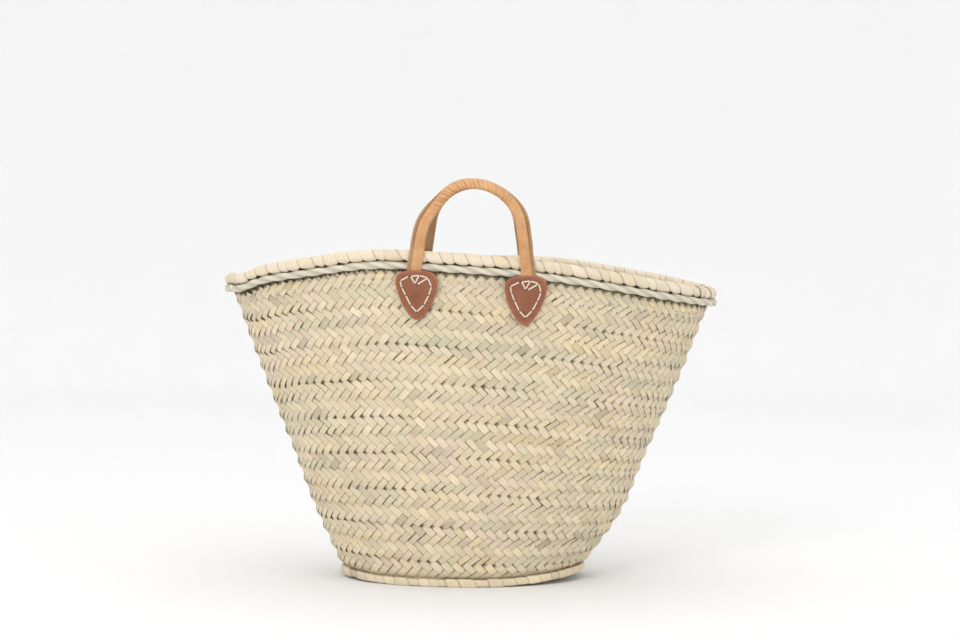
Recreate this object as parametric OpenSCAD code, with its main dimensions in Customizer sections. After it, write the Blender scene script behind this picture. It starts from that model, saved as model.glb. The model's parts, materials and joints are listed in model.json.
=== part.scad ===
// Woven market basket: a flat plait of palm leaf, coiled and sewn turn on turn,
// with a wound rim and two leather-covered rope handles.
// The origin is on the ground under the middle of the mouth. +X runs along the
// mouth, -Y is the front and +Z is up. All sizes are millimetres.

/* [Plaited wall] */
// Half the width of the wall at its top edge
rim_half_width = 253; // [230:1:270]
// Half the depth of the wall at its top edge
rim_half_depth = 120; // [110:1:130]
// Half the width of the wall at the base
base_half_width = 128; // [115:1:135]
// Half the depth of the wall at the base
base_half_depth = 84; // [76:1:90]
// Height of the wall's top edge at the two ends
end_height = 300; // [260:1:320]
// How much higher the top edge stands in the middle of front and back
crown_rise = 27; // [15:1:35]
// How much higher the left end stands than the right end
rim_tilt = 10; // [0:1:20]
// How much higher the back stands than the front
rim_rake = 8; // [0:1:12]
// Twist of the mouth out of its plane
rim_warp = 3; // [0:0.5:7]
// Sideways shift of the base under the mouth
base_shift = -6; // [-12:1:12]
// Thickness of the plaited wall
wall_thickness = 4; // [3:0.5:5]

/* [Base] */
// Thickness of the coiled base
base_thickness = 5.5; // [4:0.5:7]
// How far the edge binding stands out round the base
edge_width = 5.5; // [5:0.5:8]
// Height of the edge binding
edge_height = 8.5; // [7:0.5:9]

/* [Rim] */
// Radius of the leaf bundle inside the rim
rim_core_radius = 5; // [4:0.5:5.5]
// Radius over the leaf that is wound round the bundle
rim_wrap_radius = 6.4; // [6:0.1:7]
// Radius of the twisted cord under the rim
rim_cord_radius = 3.6; // [2.5:0.1:4]

/* [Handles] */
// Distance of each strap from the middle of its handle
leg_reach = 53.5; // [51:0.5:57]
// How far the back handle sits to the right of the front one
back_shift = 4; // [0:1:6]
// Radius of the arch, to the middle of the grip
arch_radius = 49.5; // [46:0.5:52]
// Lean of the legs out of the upright, in degrees
leg_lean = 8; // [0:1:12]
// Radius of the leather-covered grip
grip_radius = 5.3; // [5:0.1:6.5]
// Thickness of the leather
leather = 1.5; // [1:0.1:2]
// Height of the front handle's bend line above the higher rim under it
bend_clearance = 6; // [6:0.5:10]
// Height of the front arch, to the middle of the grip, above its bend line
front_rise = 62; // [58:1:72]
// Height of the back arch above its bend line
back_rise = 76; // [58:1:82]
// Width of the flat strap ends under the patches
strap_width = 14; // [10:0.5:16]

/* [Patches] */
// Width of each shield-shaped patch
patch_width = 42; // [36:1:46]
// Height of each patch
patch_height = 49; // [44:1:54]
// Radius of the white thread
thread_radius = 0.5; // [0.3:0.1:0.8]

/* [Hidden] */
turn_count = 9;
sectors = 60;            // flats round every oval
gap = 0.2;               // clearance between neighbouring pieces
turn_width = 36;         // width of the plait, the same in the base and the wall
wall_fullness = 0.155;   // bow of the end walls
belly = 0.8;             // bow of the front and back walls
foot_tuck = 4.5;         // how far the wall's foot turns in over the base
foot_share = 0.05;       // share of the wall that turns in
seam_radius = 1.2;
edge_ease = 3;           // room for the wall inside the top of the edge binding
edge_round = 1.5;
core_gap = 0.2;
core_start = 6;          // the rope starts this far above the bend line
strap_thickness = 2.5;
patch_thickness = 2;
patch_ease = 32;         // the patch comes down to the wall over this height
patch_drop = 5;          // patch top below the wall's top edge
patch_widest = 0.26;     // share of its height where the patch is widest
patch_steps = 22;

// Names of the turns of the wall, from the base up
WALL_TURNS = [for (k = [1:turn_count]) str("wall_turn_", k)];
SIDES = ["front", "back"];
HANDS = ["left", "right"];

PALM = "#d8c9a0";
CORD = "#cfc6a4";
TAN = "#c98a4b";
BROWN = "#9a5a3c";
THREAD = "#f1e6d3";

// ---- The wall's surface -------------------------------------------------
// turn is the angle round the basket: 0 at the right end, 270 at the front.
// rise goes from 0 at the foot of the wall to 1 at its top edge.

function bowed(low, high, bow, rise) = low + (high - low) * ((1 + bow) * rise - bow * rise * rise);
function tuck(rise) = foot_tuck * pow(max(0, 1 - rise / foot_share), 2);
function half_width(rise) = bowed(base_half_width, rim_half_width, wall_fullness, rise) - tuck(rise);
function half_depth(rise) = bowed(base_half_depth, rim_half_depth, belly, rise) - tuck(rise);
function shift(rise) = base_shift * pow(1 - rise, 4);
function rim_height(turn) = end_height + crown_rise * pow(sin(turn), 2)
    - rim_tilt / 2 * cos(turn) + rim_rake / 2 * sin(turn) + rim_warp * sin(2 * turn);
function height(turn, rise) = base_thickness + gap + rise * (rim_height(turn) - base_thickness - gap);

// A point on the wall, set in by inset from its outer face
function wall_point(turn, rise, inset) = [
    shift(rise) + (half_width(rise) - inset) * cos(turn),
    (half_depth(rise) - inset) * sin(turn),
    height(turn, rise)
];

// Outward direction of the wall's top edge
function outward(turn) =
    let (n = [rim_half_depth * cos(turn), rim_half_width * sin(turn), 0]) n / norm(n);

// ---- Rings --------------------------------------------------------------

// Joins closed sections, one for each sector, into a ring. The strip that closes
// the sections is cut along its other diagonal, so two bands meet without slivers.
module ring(sections) {
    n = len(sections[0]);
    count = len(sections);
    points = [for (s = sections) for (p = s) p];
    faces = [
        for (i = [0:count - 1]) for (j = [0:n - 1])
            let (a = i * n, b = (i + 1) % count * n, k = (j + 1) % n)
            for (f = k > 0
                ? [[a + j, b + k, b + j], [a + j, a + k, b + k]]
                : [[a + j, a + k, b + j], [a + k, b + k, b + j]]) f
    ];
    polyhedron(points, faces);
}

function sector_angle(i) = 360 * i / sectors;

// A band of the wall between two shares of its height
module wall_band(low, high, steps) {
    rises = [for (i = [0:steps]) low + (high - low) * i / steps];
    profile = concat(
        [for (i = [steps:-1:0]) [rises[i], wall_thickness]],
        [for (r = rises) [r, 0]]
    );
    ring([for (i = [0:sectors - 1]) [for (p = profile) wall_point(sector_angle(i), p[0], p[1])]]);
}

// A round section about a centre, in the upright plane along direction out
function round_section(centre, out, radius, sides) =
    [for (j = [0:sides - 1]) centre + radius * (cos(360 * j / sides) * out + [0, 0, sin(360 * j / sides)])];

// A round rope at a distance out from the wall's top edge and up from it
module rim_rope(out, up, radius, sides = 8) {
    ring([for (i = [0:sectors - 1])
        let (t = sector_angle(i), c = wall_point(t, 1, 0) + out * outward(t) + [0, 0, up])
        round_section(c, outward(t), radius, sides)]);
}

// A point of the base, set in from the foot of the wall by inset, at height up
function base_point(turn, inset, up) =
    [base_shift + (half_width(0) - inset) * cos(turn), (half_depth(0) - inset) * sin(turn), up];

function base_oval(inset) =
    [for (i = [0:sectors - 1]) let (p = base_point(sector_angle(i), inset, 0)) [p[0], p[1]]];

// Outward direction of the base's outline
function base_outward(turn) =
    let (n = [half_depth(0) * cos(turn), half_width(0) * sin(turn), 0]) n / norm(n);

// ---- Base ---------------------------------------------------------------

module base_centre() {
    color(PALM) linear_extrude(base_thickness) polygon(base_oval(2 * turn_width));
}

module base_turn(k) {
    outer = (2 - k) * turn_width;
    color(PALM) linear_extrude(base_thickness) difference() {
        polygon(base_oval(outer));
        polygon(base_oval(outer + turn_width));
    }
}

// Leaf binding round the foot: it hugs the base and the tuck of the wall
module base_edge() {
    profile = [
        [edge_ease, edge_height],
        [gap, base_thickness],
        [gap, 0],
        [edge_width - edge_round, 0],
        [edge_width, edge_round],
        [edge_width, edge_height - edge_round],
        [edge_width - edge_round, edge_height]
    ];
    color(PALM) ring([for (i = [0:sectors - 1])
        let (t = sector_angle(i))
        [for (p = profile) base_point(t, 0, p[1]) + p[0] * base_outward(t)]]);
}

// Sewing cord that lies in the joints between the turns of the base
module base_seam_cords() {
    for (k = [1, 2]) color(CORD) ring([for (i = [0:sectors - 1])
        let (t = sector_angle(i), c = base_point(t, k * turn_width, base_thickness + seam_radius + gap))
        round_section(c, base_outward(t), seam_radius, 5)]);
}

// ---- Wall ---------------------------------------------------------------

module wall_turn(k) {
    color(PALM) wall_band((k - 1) / turn_count, k / turn_count, k == 1 ? 4 : 2);
}

// Sewing cord that lies inside the joints between the turns of the wall
module wall_seam_cords() {
    for (k = [1:turn_count - 1]) color(CORD) ring([for (i = [0:sectors - 1])
        let (t = sector_angle(i), rise = k / turn_count)
        let (c = wall_point(t, rise, wall_thickness + seam_radius + 2 * gap))
        round_section(c, outward(t), seam_radius, 5)]);
}

// ---- Rim ----------------------------------------------------------------

roll_out = 1;
roll_up = rim_wrap_radius + gap;
cord_out = rim_cord_radius + 2 * gap;
cord_up = roll_up - sqrt(pow(rim_wrap_radius + rim_cord_radius + gap, 2) - pow(cord_out - roll_out, 2));

module rim_core() {
    color(PALM) rim_rope(roll_out, roll_up, rim_core_radius);
}

module rim_wrap() {
    color(PALM) difference() {
        rim_rope(roll_out, roll_up, rim_wrap_radius);
        rim_rope(roll_out, roll_up, rim_core_radius + core_gap);
    }
}

module rim_cord() {
    color(CORD) rim_rope(cord_out, cord_up, rim_cord_radius);
}

// ---- Patches and strap ends ----------------------------------------------

strap_out = roll_out + rim_wrap_radius + 2 * gap + strap_thickness / 2;

// Distance of a leg to the right of the basket's middle, and its angle round the basket
function leg_x(side, hand) =
    (hand == "right" ? leg_reach : -leg_reach) + (side == "front" ? 0 : back_shift);
function leg_turn(side, hand) = (side == "front" ? -1 : 1) * acos(leg_x(side, hand) / rim_half_width);

// Top edge of the wall behind a leg
function leg_rim(side, hand) = rim_height(leg_turn(side, hand));

// Depth of a leg's middle line, and of the handle's plane between its two legs
function leg_depth(side, hand) =
    let (t = leg_turn(side, hand)) rim_half_depth * sin(t) + strap_out * outward(t)[1];
function handle_depth(side) = (leg_depth(side, "left") + leg_depth(side, "right")) / 2;
function bend_height(side) =
    max(leg_rim(side, "left"), leg_rim(side, "right")) + roll_up + rim_wrap_radius + bend_clearance;

// Distance of the patch's and the strap's mid planes out from the wall, at a
// depth below the patch's top: they come down to the wall in a cosine curve
patch_rest = patch_thickness / 2 + 2 * gap;
patch_high = strap_out + strap_thickness / 2 + gap + patch_thickness / 2;
function patch_out(down) = patch_rest
    + (patch_high - patch_rest) * (0.5 + 0.5 * cos(180 * min(1, max(0, down / patch_ease))));
function strap_line(down) = patch_out(down) - patch_high + strap_out;
strap_tuck = 20;         // how far the strap reaches down behind the patch

// A strip of leather: points [down, out] of its mid line, thickened outwards
// and inwards and pulled to a width along X
module leather_strip(line, thickness, width) {
    half = thickness / 2;
    outline = concat(
        [for (p = line) [p[1] + half, -p[0]]],
        [for (i = [len(line) - 1:-1:0]) [line[i][1] - half, -line[i][0]]]
    );
    rotate([90, 0, -90]) translate([0, 0, -width / 2]) linear_extrude(width) polygon(outline);
}

// Half width of the patch at a share of its height: a broad round-cornered top
// that narrows to a round tip
function patch_half(share) = patch_width / 2 * (share < patch_widest
    ? pow(1 - pow((patch_widest - share) / patch_widest, 3), 1 / 3)
    : pow(1 - pow((share - patch_widest) / (1 - patch_widest), 1.4), 0.6));

module patch_outline() {
    shares = [for (i = [0:patch_steps]) 0.5 - 0.5 * cos(180 * i / patch_steps)];
    polygon(concat(
        [for (s = shares) [patch_half(s), -s * patch_height]],
        [for (i = [patch_steps - 1:-1:1]) [-patch_half(shares[i]), -shares[i] * patch_height]]
    ));
}

// Puts a piece that is drawn facing -Y, hung from the patch's top, on a leg
module at_leg(side, hand) {
    t = leg_turn(side, hand);
    out = outward(t);
    translate([leg_x(side, hand), rim_half_depth * sin(t), leg_rim(side, hand) - patch_drop])
        rotate([0, 0, atan2(out[0], -out[1])]) children();
}

module patch(side, hand) {
    steps = 16;
    line = [for (i = [0:steps]) let (d = -1 + (patch_height + 2) * i / steps) [d, patch_out(d)]];
    color(BROWN) at_leg(side, hand) intersection() {
        leather_strip(line, patch_thickness, patch_width + 2);
        rotate([90, 0, 0]) linear_extrude(patch_high + patch_thickness) patch_outline();
    }
}

// The flat end of the handle's leather, from the bend line down over the rim
// and in under the patch
module strap_end(side, hand) {
    top = bend_height(side) - grip_radius - 2 * gap - (leg_rim(side, hand) - patch_drop);
    steps = 8;
    line = concat([[-top, strap_out]],
        [for (i = [0:steps]) let (d = strap_tuck * i / steps) [d, strap_line(d)]]);
    color(TAN) at_leg(side, hand) leather_strip(line, strap_thickness, strap_width);
}

// Holes of the stitching, across and down from the middle of the patch's top
EDGE_HOLES = [
    [-7, 6], [-16, 10.5], [-14.5, 17], [-11, 24.5], [-6, 34.5], [0, 41],
    [7, 34], [12, 24.5], [15, 16], [12, 7.5], [3.5, 5], [-5, 6]
];
CREST_HOLES = [[3.5, 5], [-1, 13], [-5, 6]];
CREST_TAIL = [[1, 14], [12, 7.5]];

// A stitch is a straight thread clear of the curved leather: it stands out by
// the most that the leather bulges past the line from hole to hole
function bulge(from, to) = max([for (i = [0:8])
    let (t = i / 8, down = from[1] * (1 - t) + to[1] * t)
    patch_out(down) - patch_out(from[1]) * (1 - t) - patch_out(to[1]) * t]);
function on_patch(hole, lift) =
    [hole[0], -patch_out(hole[1]) - patch_thickness / 2 - thread_radius - lift, -hole[1]];

module stitch(from, to) {
    lift = bulge(from, to) + gap;
    a = on_patch(from, lift);
    d = on_patch(to, lift) - a;
    translate(a + 0.06 * d) rotate([0, acos(d[2] / norm(d)), atan2(d[1], d[0])])
        cylinder(h = 0.88 * norm(d), r = thread_radius, $fn = 24);
}

module stitches(side, hand) {
    color(THREAD) at_leg(side, hand) {
        for (i = [0:len(EDGE_HOLES) - 2]) stitch(EDGE_HOLES[i], EDGE_HOLES[i + 1]);
        for (i = [0:len(CREST_HOLES) - 2]) stitch(CREST_HOLES[i], CREST_HOLES[i + 1]);
        stitch(CREST_TAIL[0], CREST_TAIL[1]);
    }
}

// ---- Handles ------------------------------------------------------------

// A straight leg whose foot is half round or flat
module leg(radius, length, round_foot) {
    rotate_extrude($fn = 48) {
        square([radius, length]);
        if (round_foot) intersection() {
            circle(r = radius, $fn = 48);
            translate([0, -radius]) square(radius);
        }
    }
}

// Height of the legs' straight stretch, and the legs' distance from the middle at the bend line
function straight(rise) = rise - arch_radius * (1 - sin(leg_lean));
function foot_reach(rise) = arch_radius * cos(leg_lean) + straight(rise) * tan(leg_lean);

// An arch on two legs that lean out towards their feet and begin at a height
// above the bend line, measured along the leg
module arch(radius, rise, begin, round_foot) {
    translate([0, 0, rise - arch_radius]) rotate([90, 0, 0]) rotate([0, 0, leg_lean])
        rotate_extrude(angle = 180 - 2 * leg_lean, $fn = 96)
            translate([arch_radius, 0]) circle(r = radius, $fn = 48);
    for (way = [-1, 1])
        translate([way * foot_reach(rise), 0, 0]) rotate([0, -way * leg_lean, 0]) translate([0, 0, begin])
            leg(radius, straight(rise) / cos(leg_lean) - begin, round_foot);
}

function rise(side) = side == "front" ? front_rise : back_rise;

module at_bend(side) {
    translate([side == "front" ? 0 : back_shift, handle_depth(side), bend_height(side)]) children();
}

module handle_core(side) {
    color(CORD) at_bend(side) arch(grip_radius - leather - core_gap, rise(side), core_start, false);
}

module handle_cover(side) {
    color(TAN) at_bend(side) difference() {
        arch(grip_radius, rise(side), 0, true);
        arch(grip_radius - leather, rise(side), 0, true);
    }
}

// ---- Build --------------------------------------------------------------

base_centre();
base_turn(1);  // base_turn_1
base_turn(2);  // base_turn_2
base_edge();
base_seam_cords();
for (k = [1:turn_count]) wall_turn(k);
wall_seam_cords();
rim_core();
rim_wrap();
rim_cord();
for (s = SIDES) for (h = HANDS) {
    strap_end(s, h);
    patch(s, h);
    stitches(s, h);
}
for (s = SIDES) {
    handle_core(s);
    handle_cover(s);
}
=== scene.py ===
"""Woven market basket: plaited leaf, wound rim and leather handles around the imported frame.

Every length is in metres. turn is the angle round the basket in radians, 0 at the right end
and 3/2 pi at the front, and share goes from 0 at one edge of a surface to 1 at the other.
"""
import json
import math

import bpy
import numpy as np
from mathutils import Euler, Matrix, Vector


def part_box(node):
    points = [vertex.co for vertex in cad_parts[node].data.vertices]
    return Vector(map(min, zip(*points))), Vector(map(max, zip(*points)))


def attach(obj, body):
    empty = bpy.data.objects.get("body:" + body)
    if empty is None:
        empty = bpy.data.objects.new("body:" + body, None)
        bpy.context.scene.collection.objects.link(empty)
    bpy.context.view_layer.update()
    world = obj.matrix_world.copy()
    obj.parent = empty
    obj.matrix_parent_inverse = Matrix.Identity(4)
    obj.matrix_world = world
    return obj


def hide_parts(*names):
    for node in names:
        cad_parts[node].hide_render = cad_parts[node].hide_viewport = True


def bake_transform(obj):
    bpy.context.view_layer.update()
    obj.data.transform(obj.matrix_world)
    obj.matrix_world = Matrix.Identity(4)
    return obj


bl_info = {
    "name": "Woven Market Basket",
    "version": (1, 0, 0),
    "blender": (4, 5, 0),
    "location": "View3D > Sidebar > Basket",
    "description": "Plaits a palm-leaf market basket with a wound rim and leather handles",
    "category": "Add Mesh",
}

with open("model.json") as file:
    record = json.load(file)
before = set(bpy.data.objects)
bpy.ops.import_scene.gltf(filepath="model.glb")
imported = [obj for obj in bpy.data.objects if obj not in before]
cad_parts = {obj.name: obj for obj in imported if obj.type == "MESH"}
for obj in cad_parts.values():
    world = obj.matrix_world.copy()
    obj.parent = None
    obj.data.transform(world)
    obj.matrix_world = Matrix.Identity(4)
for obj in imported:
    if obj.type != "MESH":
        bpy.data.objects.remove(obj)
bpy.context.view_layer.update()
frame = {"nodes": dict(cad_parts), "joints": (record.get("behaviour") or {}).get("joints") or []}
TAU = 2 * math.pi
SIDES = ("front", "back")
HANDS = ("left", "right")
MM = 0.001


def span(node):
    """The lowest and the highest corner of a CAD node."""
    low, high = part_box(node)
    return np.array(low), np.array(high)


WALL_TURNS = [f"wall_turn_{k}" for k in range(1, 1 + sum(n.startswith("wall_turn_") for n in frame["nodes"]))]
TOP_TURN = span(WALL_TURNS[-1])
FOOT = span("base_turn_2")
COVER = span("front_handle_cover")
JOINTS = {j["name"]: j for j in frame["joints"]}


# ---- Sizes and colours ---------------------------------------------------


def length(name, description, default):
    """A setting in metres."""
    return bpy.props.FloatProperty(name=name, description=description, default=default, unit="LENGTH")


def plain(name, description, default):
    """A setting without a unit."""
    return bpy.props.FloatProperty(name=name, description=description, default=default)


def whole(name, description, default):
    """A setting that is a whole number."""
    return bpy.props.IntProperty(name=name, description=description, default=default)


def tone(name, description, default):
    """A colour, as it is seen on a screen."""
    return bpy.props.FloatVectorProperty(
        name=name, description=description, default=default, subtype="COLOR_GAMMA", size=3)


class BasketShape(bpy.types.PropertyGroup):
    """The wall's outline, the same as the CAD's."""

    rim_width: length("Rim half width", "Half the width of the wall at its top edge", TOP_TURN[1][0])
    rim_depth: length("Rim half depth", "Half the depth of the wall at its top edge", TOP_TURN[1][1])
    foot_width: length(
        "Foot half width", "Half the width of the wall where it stands on the base", (FOOT[1][0] - FOOT[0][0]) / 2)
    foot_depth: length(
        "Foot half depth", "Half the depth of the wall where it stands on the base", FOOT[1][1])
    foot_shift: length(
        "Foot shift", "Sideways shift of the base under the mouth", (FOOT[0][0] + FOOT[1][0]) / 2)
    foot_height: length("Foot height", "Height at which the wall starts", span(WALL_TURNS[0])[0][2])
    foot_tuck: length("Foot tuck", "How far the wall's foot turns in over the base", 4.5 * MM)
    tuck_share: plain("Tuck share", "Share of the wall that turns in", 0.05)
    end_bow: plain("End bow", "Bow of the end walls", 0.155)
    side_bow: plain("Side bow", "Bow of the front and back walls", 0.8)
    right_lift: length("Right lift", "How far the right end of the soft base stands off the ground", 9 * MM)
    left_lift: length("Left lift", "How far the left end of the soft base stands off the ground", 4 * MM)
    right_sag: length("Right sag", "How far the right end wall sags out above the foot", 6 * MM)
    left_sag: length("Left sag", "How far the left end wall sags out above the foot", 2.5 * MM)
    thickness: length("Thickness", "Thickness of the plait", 4 * MM)


class PlaitSizes(bpy.types.PropertyGroup):
    """The leaf strips of the plait."""

    pitch: length("Pitch", "Distance from one strip to the next along a row", 10.2 * MM)
    rows: whole("Rows", "Rows of strips from the foot to the rim", 35)
    base_rows: whole("Base rows", "Rows of strips from the middle of the base to its edge", 9)
    ridge: length("Ridge", "Height of the soft ridge that each pair of rows makes", 1.05 * MM)
    crown: length("Crown", "How far the middle of a strip stands up", 0.25 * MM)
    tilt: length("Tilt", "How far the lower edge of a strip stands over the next one", 0.24 * MM)
    leaf: length("Leaf", "Thickness of one strip", 0.9 * MM)
    seed: whole("Seed", "Start of the random draws", 7)


class BasketColours(bpy.types.PropertyGroup):
    """The finishes."""

    straw: tone("Straw", "Common colour of the dried leaf", (0.86, 0.80, 0.68))
    green: tone("Green", "Leaf that kept some green", (0.79, 0.775, 0.65))
    gold: tone("Gold", "Leaf that yellowed in the sun", (0.88, 0.80, 0.62))
    rose: tone("Rose", "Leaf with a pink cast", (0.86, 0.775, 0.69))
    cream: tone("Cream", "Pale leaf of the rim", (0.915, 0.855, 0.765))
    # Painted shade: the dark colour of the backing band and the inner ropes, for the shadow seen through gaps in
    # the plait and the windings
    shade: tone("Shade", "Leaf deep inside the plait", (0.42, 0.36, 0.25))
    cord: tone("Cord", "Twisted leaf cord", (0.875, 0.84, 0.755))
    tan: tone("Tan", "Leather of the handles", (0.85, 0.655, 0.46))
    brown: tone("Brown", "Leather of the patches", (0.60, 0.37, 0.25))
    thread: tone("Thread", "Waxed thread", (0.95, 0.90, 0.82))


def linear(colour):
    """Gamma-coded colours as linear ones, by the usual power law with its straight foot."""
    c = np.asarray(colour, float)
    return np.where(c <= 0.04045, c / 12.92, ((c + 0.055) / 1.055) ** 2.4)


def shape():
    """The settings of the basket's outline."""
    return bpy.context.scene.basket_shape


def plait_sizes():
    """The settings of the plait."""
    return bpy.context.scene.basket_plait


def colour(name):
    """A named colour of the settings, in linear values."""
    return linear(getattr(bpy.context.scene.basket_colours, name)[:])


def smooth(t):
    """From 0 to 1 with level ends: 3 t^2 - 2 t^3."""
    t = np.clip(t, 0, 1)
    return t * t * (3 - 2 * t)


# ---- Meshes --------------------------------------------------------------


def grid_quads(rows, columns, ring=False, closed=False):
    """Quads between neighbouring points of a grid stored row by row.

    ring joins the last column to the first, and closed the last row to the first.
    """
    r = np.arange(rows if closed else rows - 1)
    c = np.arange(columns if ring else columns - 1)
    r, c = (a.ravel() for a in np.meshgrid(r, c, indexing="ij"))
    up, along = (r + 1) % rows, (c + 1) % columns
    return np.stack([r * columns + c, r * columns + along, up * columns + along, up * columns + c], 1)


def repeated(faces, copies, points_each):
    """The same faces for each copy of a shape whose points follow one another."""
    return (faces[None] + np.arange(copies)[:, None, None] * points_each).reshape(-1, faces.shape[1])


def joined(parts):
    """Several (points, face arrays, colours, uv) as one: the points in a row, the faces counted on."""
    points, faces, colours, uvs, count = [], [], [], [], 0
    for p, fs, c, u in parts:
        points.append(p)
        colours.append(c)
        uvs.append(u)
        faces += [f + count for f in fs]
        count += len(p)
    return np.concatenate(points), faces, np.concatenate(colours), np.concatenate(uvs)


def make_piece(name, part, body, material, nodes=()):
    """A mesh object from (points, face arrays, colours, uv), riding on a body in place of its CAD nodes."""
    points, faces, colours, uv = part
    mesh = bpy.data.meshes.new(name)
    loops = np.concatenate([f.ravel() for f in faces])
    if not len(loops):
        raise RuntimeError(f"{name} has no faces")
    sizes = np.concatenate([np.full(len(f), f.shape[1]) for f in faces])
    mesh.vertices.add(len(points))
    mesh.vertices.foreach_set("co", np.asarray(points, np.float32).ravel())
    mesh.loops.add(len(loops))
    mesh.loops.foreach_set("vertex_index", loops.astype(np.int32))
    mesh.polygons.add(len(sizes))
    mesh.polygons.foreach_set("loop_start", (np.cumsum(sizes) - sizes).astype(np.int32))
    mesh.polygons.foreach_set("use_smooth", np.ones(len(sizes), bool))
    mesh.update(calc_edges=True)
    tint = mesh.attributes.new("tint", "FLOAT_COLOR", "POINT")
    rgba = np.ones((len(points), 4), np.float32)
    rgba[:, :3] = colours
    tint.data.foreach_set("color", rgba.ravel())
    layer = mesh.uv_layers.new(name="strip")
    layer.uv.foreach_set("vector", uv[loops].astype(np.float32).ravel())
    mesh.validate()
    mesh.set_sharp_from_angle(angle=math.radians(38))
    mesh.materials.append(material)
    piece = bpy.data.objects.new(name, mesh)
    bpy.context.scene.collection.objects.link(piece)
    if body:
        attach(piece, body)
    if nodes:
        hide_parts(*nodes)
    return piece


def unit(v):
    """Vectors of length one."""
    return v / np.linalg.norm(v, axis=-1, keepdims=True)


def swept(path, side, front, sections, uv_scale=1.0, closed=False):
    """A tube: at each point of path, a section (m, 2) laid along the side and front directions.

    Point = path + x * side + y * front. Open tubes are closed with a fan to a point at each end.
    """
    n, m = sections.shape[0], sections.shape[1]
    points = path[:, None] + sections[..., :1] * side[:, None] + sections[..., 1:] * front[:, None]
    quads = grid_quads(n, m, ring=True, closed=closed)
    along = np.concatenate([[0], np.cumsum(np.linalg.norm(np.diff(path, axis=0), axis=1))])
    uv = np.stack(np.broadcast_arrays(along[:, None] * uv_scale, np.arange(m)[None] / m), -1).reshape(-1, 2)
    points = points.reshape(-1, 3)
    faces = [quads]
    if not closed:
        j = np.arange(m)
        caps = []
        for row, tip in ((0, len(points)), (n - 1, len(points) + 1)):
            a, b = row * m + j, row * m + (j + 1) % m
            caps.append(np.stack([b, a, np.full(m, tip)] if row == 0 else [a, b, np.full(m, tip)], 1))
        points = np.concatenate([points, path[[0]], path[[-1]]])
        uv = np.concatenate([uv, uv[[0, -1]]])
        faces.append(np.concatenate(caps))
    return points, faces, uv


def tube(path, side, front, sections, uv_scale=1.0, closed=False, colours=1.0):
    """A swept tube as a whole part, with its faces outward, in one colour or one for each point."""
    points, faces, uv = swept(path, side, front, sections, uv_scale, closed)
    return points, turned_right(points, faces), np.broadcast_to(colours, points.shape), uv


def turned_right(points, faces):
    """The faces with their order reversed where the closed surface's volume comes out negative."""
    volume = 0.0
    for f in faces:
        for k in range(1, f.shape[1] - 1):
            a, b, c = points[f[:, 0]], points[f[:, k]], points[f[:, k + 1]]
            volume += np.einsum("ij,ij->", a, np.cross(b, c))
    return [f[:, ::-1] for f in faces] if volume < 0 else faces


# ---- The basket's surfaces -----------------------------------------------


def rim_terms(turn):
    """The terms of the rim's height: a constant, the crown, the two tilts and the twist."""
    return np.stack([np.ones_like(turn), np.sin(turn) ** 2, np.cos(turn), np.sin(turn), np.sin(2 * turn)], -1)


def fit_rim():
    """The rim's height is a sum of rim_terms, fitted to the outer top edge of the CAD's last turn."""
    mesh = frame["nodes"][WALL_TURNS[-1]].data
    co = np.empty(len(mesh.vertices) * 3)
    mesh.vertices.foreach_get("co", co)
    co = co.reshape(-1, 3)
    x, y = co[:, 0] / TOP_TURN[1][0], co[:, 1] / TOP_TURN[1][1]
    edge = np.abs(x * x + y * y - 1) < 1e-3
    return np.linalg.lstsq(rim_terms(np.arctan2(y, x)[edge]), co[edge, 2], rcond=None)[0]


RIM_WEIGHTS = fit_rim()

# Where the rim stands up or sags a little, as turn, spread and height
RIM_WAVES = (
    (4.32, 0.22, 3.8 * MM), (3.52, 0.15, -4.5 * MM), (5.45, 0.45, -2.2 * MM), (1.2, 0.2, 2.0 * MM))


def rim_height(turn):
    """Height of the wall's top edge: the fitted terms and a few soft bumps e^(-(distance / spread)^2)."""
    height = rim_terms(turn) @ RIM_WEIGHTS
    for middle, spread, rise in RIM_WAVES:
        away = (turn - middle + math.pi) % TAU - math.pi
        height = height + rise * np.exp(-(away / spread) ** 2)
    return height


def bowed(low, high, bow, share):
    """From low to high along a parabola that stands out in the middle by the bow."""
    return low + (high - low) * ((1 + bow) * share - bow * share * share)


def foot_lift(turn):
    """How far the soft base stands off the ground: nothing in its middle, and a square law at both ends."""
    s, c = shape(), np.cos(turn)
    start = np.where(c > 0, 0.1, 0.5)
    rise = np.clip((np.abs(c) - start) / (1 - start), 0, 1) ** 2
    return rise * np.where(c > 0, s.right_lift, s.left_lift)


def wall_surface(turn, share):
    """The wall's outer face: an ellipse whose half axes grow along two bows, under the uneven rim."""
    s = shape()
    tuck = s.foot_tuck * np.maximum(0, 1 - share / s.tuck_share) ** 2
    a = bowed(s.foot_width + s.foot_tuck, s.rim_width, s.end_bow, share) - tuck
    b = bowed(s.foot_depth + s.foot_tuck, s.rim_depth, s.side_bow, share) - tuck
    c = np.cos(turn)
    sag = np.exp(-((share - 0.22) / 0.14) ** 2) * c * np.abs(c) * np.where(c > 0, s.right_sag, s.left_sag)
    x = s.foot_shift * (1 - share) ** 4 + a * c + sag
    z = s.foot_height + share * (rim_height(turn) - s.foot_height) + foot_lift(turn) * (1 - share) ** 4
    return np.stack([x, b * np.sin(turn), z], -1)


BASE_LIFT = 0.9 * MM     # height of the plait's middle under the base


def base_surface(turn, share):
    """The base's underside: ovals that shrink from the foot's outline to a line in its middle."""
    s = shape()
    inset = (1 - share) * s.foot_depth
    x = s.foot_shift + (s.foot_width - inset) * np.cos(turn)
    y = (s.foot_depth - inset) * np.sin(turn)
    return np.stack([x, y, BASE_LIFT + foot_lift(turn) * share ** 2], -1)


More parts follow.
